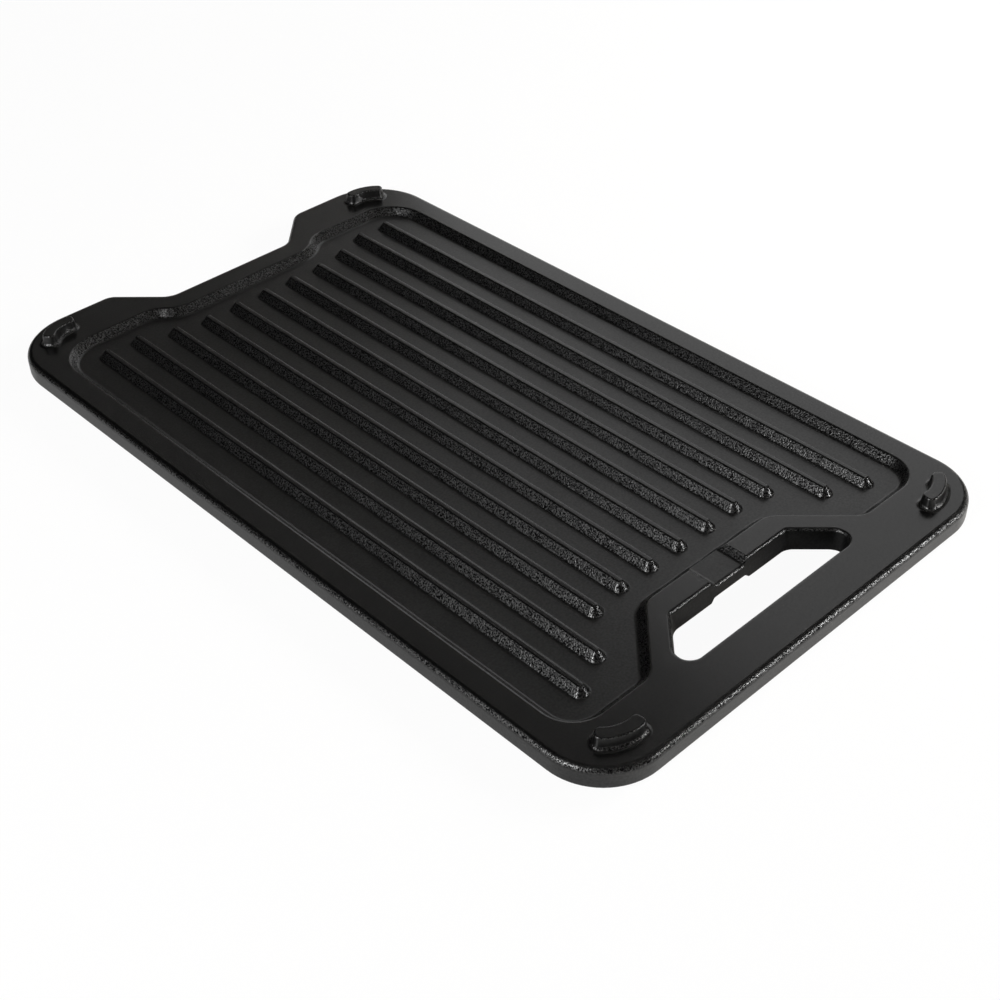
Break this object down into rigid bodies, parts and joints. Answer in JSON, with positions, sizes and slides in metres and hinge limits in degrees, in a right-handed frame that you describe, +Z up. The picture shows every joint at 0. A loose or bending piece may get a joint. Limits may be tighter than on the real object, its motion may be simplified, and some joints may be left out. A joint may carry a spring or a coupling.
{
  "type": "griddle plate",
  "caption": "Reversible cast-iron griddle plate with a ribbed face, a smooth face, a finger slot, a notched end, grease drains and arc-shaped feet, for cooking over a camp stove.",
  "frame": {"origin": "under the middle of the plate, on the surface that the rim of its smooth side lies on", "axes": "+Y from the handle end to the notched end, +X to the right seen from the handle end, +Z up, out of the ribbed side"},
  "size_m": [0.29, 0.48, 0.0185],
  "materials": {
    "cast_iron": "seasoned satin black with a fine sand-cast grain"
  },
  "bodies": {
    "root": {"griddle_plate": "cast_iron", "foot_front_left": "cast_iron", "foot_front_right": "cast_iron", "foot_rear_left": "cast_iron", "foot_rear_right": "cast_iron"}
  },
  "joints": []
}
